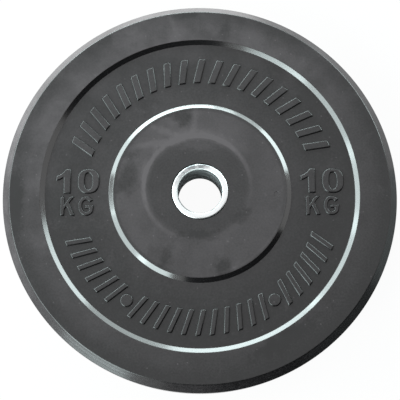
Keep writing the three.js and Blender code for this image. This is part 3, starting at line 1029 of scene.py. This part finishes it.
on_chamfer = add_node(tree, "Math", (in_mouth, in_bore), operation="SUBTRACT")
turned_roughness = add_node(tree, "MapRange", (grooves, *GROOVES_DULL), **EASED)
steel_shader = add_node(tree, "BsdfPrincipled", {
    "Base Color": steel_colour,
    "Metallic": add_node(tree, "MapRange", (in_mouth, *MOUTH_BARE_METAL), **EASED),
    "Roughness": add_node(tree, "Mix", {
        "Factor": on_chamfer, "A": turned_roughness, "B": MOUTH_ROUGHNESS,
    }, data_type="FLOAT"),
    "Normal": add_node(tree, "Bump", {
        "Height": grooves, "Strength": GROOVE_STRENGTH, "Distance": GROOVE_DEPTH,
    }),
})
add_node(tree, "OutputMaterial", {"Surface": steel_shader})
give(sleeve, steel)
print(steel.name, "with", len(tree.nodes), "nodes")

# %% [markdown]
# ## Steel that the rubber hides
# The flange is cut from hot-rolled plate, blue-grey with patches of mill scale. The weld beads are as
# welded, with the ripples that the pool leaves as it freezes. Nobody sees them in the finished plate, but
# a cut-away would show them, so they get their own finishes on the parts that were loaded.

# %% Make the plate steel and the weld metal
SCALE_GREY = "#6d7075"
SCALE_DARK = "#45474b"
WELD_GREY = "#77746f"
SCALE_PATCH = 9 * MM
SCALE_DETAIL = 6.0
SCALE_HEIGHT = 0.05 * MM
SCALE_ROUGHNESS = 0.55
RIPPLE_PITCH = 1.5 * MM
RIPPLE_DETAIL = 3.0
RIPPLE_HEIGHT = 0.2 * MM
WELD_ROUGHNESS = 0.5


def hidden_steel(name, colour, pattern_size, detail, roughness, bump_height):
    """Bare steel that darkens and rises in patches of one size."""
    material, tree = new_material(name)
    place = add_node(tree, "TexCoord").outputs["Object"]
    pattern = add_node(tree, "TexNoise", {"Vector": place, "Scale": 1 / pattern_size, "Detail": detail})
    shader = add_node(tree, "BsdfPrincipled", {
        "Base Color": add_node(tree, "Mix", {
            "Factor": pattern, MIX_A: hex_colour(colour), MIX_B: hex_colour(SCALE_DARK),
        }, data_type="RGBA").outputs[MIX_RESULT],
        "Metallic": 1.0, "Roughness": roughness,
        "Normal": add_node(tree, "Bump", {"Height": pattern, "Distance": bump_height}),
    })
    add_node(tree, "OutputMaterial", {"Surface": shader})
    return material


plate_steel = hidden_steel(
    "hot_rolled_steel_plate", SCALE_GREY, SCALE_PATCH, SCALE_DETAIL, SCALE_ROUGHNESS, SCALE_HEIGHT
)
weld_metal = hidden_steel(
    "rippled_weld_metal", WELD_GREY, RIPPLE_PITCH, RIPPLE_DETAIL, WELD_ROUGHNESS, RIPPLE_HEIGHT
)
for node_name, material in (
    ("anchor_flange", plate_steel),
    ("weld_bead_front", weld_metal),
    ("weld_bead_rear", weld_metal),
):
    for material_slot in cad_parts[node_name].material_slots:
        material_slot.material = material
print("hidden steel finished")

# %% [markdown]
# ## Studio
# Dark shiny rubber shows what is around it. To look as it does in the picture, the plate lies in a ring of
# low, large soft lights with a dark gap at the front right: slopes that face the lights turn white, and
# those that face the gap stay black. Each softbox is placed by the direction that it comes from, and its
# power follows from its brightness, so that the plate as a whole is lit at a plain level. The numbers of a
# softbox are its azimuth, elevation, width and height in degrees, as seen from the plate, and its
# brightness.

# %% Hang the softboxes
STUDIO_CENTRE = Vector((0, 0, MID_HEIGHT))
SOFTBOX_DISTANCE = 3.0
SOFTBOXES = {
    "right_softbox": (39.5, 13, 28, 27, 8.5),
    "right_gap_softbox": (67, 10, 28, 22, 3.4),
    "rear_softbox": (104, 11, 44, 22, 10.0),
    "rear_low_softbox": (102, 4, 62, 10, 5.0),
    "left_softbox": (140, 16, 32, 24, 7.0),
    "far_left_softbox": (167, 25.5, 30, 19, 6.8),
    "front_left_softbox": (-158, 25, 42, 32, 5.5),
    "front_strip_softbox": (-128, 20, 26, 44, 7.5),
    "overhead_softbox": (125, 62, 50, 34, 0.36),
}
COOL_WHITE = "#edffff"


def direction(azimuth, elevation):
    a, e = math.radians(azimuth), math.radians(elevation)
    return Vector((math.cos(e) * math.cos(a), math.cos(e) * math.sin(a), math.sin(e)))


def softbox(name, azimuth, elevation, width, height, brightness):
    towards = direction(azimuth, elevation)
    bpy.ops.object.select_all(action="DESELECT")
    bpy.ops.object.light_add(type="AREA", location=STUDIO_CENTRE + SOFTBOX_DISTANCE * towards)
    lamp = bpy.context.object
    lamp.name = name
    lamp.rotation_euler = (-towards).to_track_quat("-Z", "Y").to_euler()
    lamp.data.shape = "RECTANGLE"
    lamp.data.color = hex_colour(COOL_WHITE)[:3]
    lamp.data.size = 2 * SOFTBOX_DISTANCE * math.tan(math.radians(width / 2))
    lamp.data.size_y = 2 * SOFTBOX_DISTANCE * math.tan(math.radians(height / 2))
    lamp.data.energy = brightness * math.pi * lamp.data.size * lamp.data.size_y
    lamp.visible_camera = False
    return lamp


for name, settings in SOFTBOXES.items():
    print(name, f"{softbox(name, *settings).data.energy:.0f} W")

# %% [markdown]
# ## Flags in front of the plate
# The bevel at the front looks past the plate and down at the sheet that it lies on. To keep it dark there,
# a photographer lays dark cards, called flags, beside the object, and stands one behind them. Here a black
# card lies at the front, a darker and a lighter grey one lead over to the white sheet at the right, and a
# second black one stands behind them. Each is a line swept round the axis of the plate, so that it keeps
# its distance from the tread, and only reflections see it. The two numbers of a flag are the azimuths of
# its ends.

# %% Paint the cards
CARDS = {"black_card": "#1a1a1a", "dusk_card": "#767676", "grey_card": "#c2c2c2"}


def card_material(name, colour):
    material, tree = new_material(name)
    matt = add_node(tree, "BsdfDiffuse", {"Color": hex_colour(colour)})
    add_node(tree, "OutputMaterial", {"Surface": matt})
    return material


card_materials = {name: card_material(name, colour) for name, colour in CARDS.items()}
print("cards painted:", ", ".join(card_materials))

# %% Lay and stand the flags
FLAG_START = 0.245
LYING_FLAG_END = 1.4
STANDING_FLAG_DISTANCE = 1.4
STANDING_FLAG_HEIGHT = 2.6
CARD_LIFT = 0.001
CARD_STEPS = 12
LYING = ((FLAG_START, CARD_LIFT), (LYING_FLAG_END, CARD_LIFT))
STANDING = ((STANDING_FLAG_DISTANCE, CARD_LIFT), (STANDING_FLAG_DISTANCE, STANDING_FLAG_HEIGHT))
FLAGS = {
    "lying_flag": (LYING, (-86, -54), "black_card"),
    "dusk_flag": (LYING, (-54, -22), "dusk_card"),
    "grey_flag": (LYING, (-22, 12), "grey_card"),
    "standing_flag": (STANDING, (-102, -15), "black_card"),
}


def studio_card(card, material):
    """Makes a card that only reflections see."""
    card.visible_camera = False
    card.visible_diffuse = False
    card.visible_shadow = False
    card.visible_transmission = False
    give(card, material)


def swept_card(name, profile, turn, material):
    """A card swept round the plate from one azimuth to another, from a chain of distances and heights."""
    start, end = turn
    points = [direction(start, 0) * distance + Vector((0, 0, height)) for distance, height in profile]
    card = traced(name, points, closed=False)
    bpy.ops.mesh.select_all(action="SELECT")
    sweep = math.radians(start - end)
    bpy.ops.mesh.spin(steps=CARD_STEPS, angle=sweep, center=(0, 0, 0), axis=(0, 0, 1))
    bpy.ops.object.mode_set(mode="OBJECT")
    studio_card(card, material)
    corners = [card.matrix_world @ v.co for v in card.data.vertices]
    azimuths = sorted({round(math.degrees(math.atan2(corner.y, corner.x))) for corner in corners})
    print(name, "from azimuth", azimuths[0], "to", azimuths[-1])


for name, (profile, turn, card_name) in FLAGS.items():
    swept_card(name, profile, turn, card_materials[card_name])

# %% [markdown]
# ## A lit sheet behind the plate
# The bevel behind and to the left looks past the plate and down at the white sheet that it lies on, which
# stands close to the rear lights and is brighter there than in front. A lit card on the floor does the
# same.

# %% Lay the glowing sheet, a painted reflection
SHEET_AZIMUTH = 112
SHEET_SIZE = (1.1, 0.7)
SHEET_BRIGHTNESS = 2.5

glowing_card, tree = new_material("glowing_white_card")
# Painted reflection: the card glows and lights nothing, and only reflections see it.
card_glow = add_node(tree, "Emission", {"Color": hex_colour(WHITE), "Strength": SHEET_BRIGHTNESS})
add_node(tree, "OutputMaterial", {"Surface": card_glow})
bpy.ops.object.select_all(action="DESELECT")
sheet_place = direction(SHEET_AZIMUTH, 0) * (FLAG_START + SHEET_SIZE[1] / 2)
bpy.ops.mesh.primitive_plane_add(size=1.0, location=sheet_place)
glowing_sheet = bpy.context.object
glowing_sheet.name = "glowing_sheet"
glowing_sheet.location.z = CARD_LIFT
glowing_sheet.rotation_euler.z = math.radians(SHEET_AZIMUTH + 90)
glowing_sheet.scale = (*SHEET_SIZE, 1)
studio_card(glowing_sheet, glowing_card)
print("lit sheet laid")

# %% [markdown]
# ## Floor and room
# The floor is a plain white sheet that runs on past the edges of the picture. Most of what the camera sees
# of it is even white, and a small part is lit, which keeps a soft shadow under the plate. The room is
# white where the camera or a reflection meets it, and dimmer as a light, so that the softboxes do the
# work.

# %% Lay the floor and paint the room
FLOOR_SIZE = 16.0
FLOOR_WHITE = "#f4f4f4"
TREAD_RADIUS = PLATE_RADIUS - HOLD
EVEN_SHARE = 0.95
ROOM_LIGHT = 0.15


def seen_directly(tree, mirror_share=1.0):
    """1 for rays from the camera, a reflection or a clear surface, and 0 for those that only carry light."""
    rays = add_node(tree, "LightPath").outputs
    glossy, clear = rays["Is Glossy Ray"], rays["Is Transmission Ray"]
    mirror = add_node(tree, "Math", (glossy, clear), operation="MAXIMUM")
    mirror = product_of(tree, mirror, mirror_share)
    return add_node(tree, "Math", (rays["Is Camera Ray"], mirror), operation="MAXIMUM")


def beside_plate(tree):
    """0 under the plate, where a reflection meets the shade, and 1 beside it."""
    place = add_node(tree, "TexCoord").outputs["Object"]
    return add_node(tree, "Math", (distance_from_axis(tree, place), TREAD_RADIUS), operation="GREATER_THAN")


bpy.ops.object.select_all(action="DESELECT")
bpy.ops.mesh.primitive_plane_add(size=FLOOR_SIZE)
floor = bpy.context.object
floor.name = "floor"
white_floor, tree = new_material("white_floor_sheet")
share = product_of(tree, seen_directly(tree, beside_plate(tree)), EVEN_SHARE)
lit = add_node(tree, "BsdfDiffuse", {"Color": hex_colour(FLOOR_WHITE)})
even = add_node(tree, "Emission", {"Color": hex_colour(WHITE), "Strength": 1.0})
add_node(tree, "OutputMaterial", {"Surface": add_node(tree, "MixShader", (share, lit, even))})
give(floor, white_floor)

room = bpy.data.worlds.new("white_room")
room.use_nodes = True
room.node_tree.nodes.clear()
tree = room.node_tree
strength = add_node(tree, "MapRange", {"Value": seen_directly(tree), "To Min": ROOM_LIGHT, "To Max": 1.0})
background = add_node(tree, "Background", {"Color": hex_colour(WHITE), "Strength": strength})
add_node(tree, "OutputWorld", {"Surface": background})
bpy.context.scene.world = room
bpy.context.scene.view_settings.view_transform = "Standard"
print("floor and room done")

# %% [markdown]
# ## Tying the pieces to the frame
# Each fine piece stands for one of the loaded parts and rides on the same body.

# %% Tie the pieces to the frame and finish
for piece, node_name, slot_name in (
    (disc, "rubber_disc", "moulded_rubber"),
    (sleeve, "hub_sleeve", "turned_steel"),
):
    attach(piece, "root")
    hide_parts(node_name)
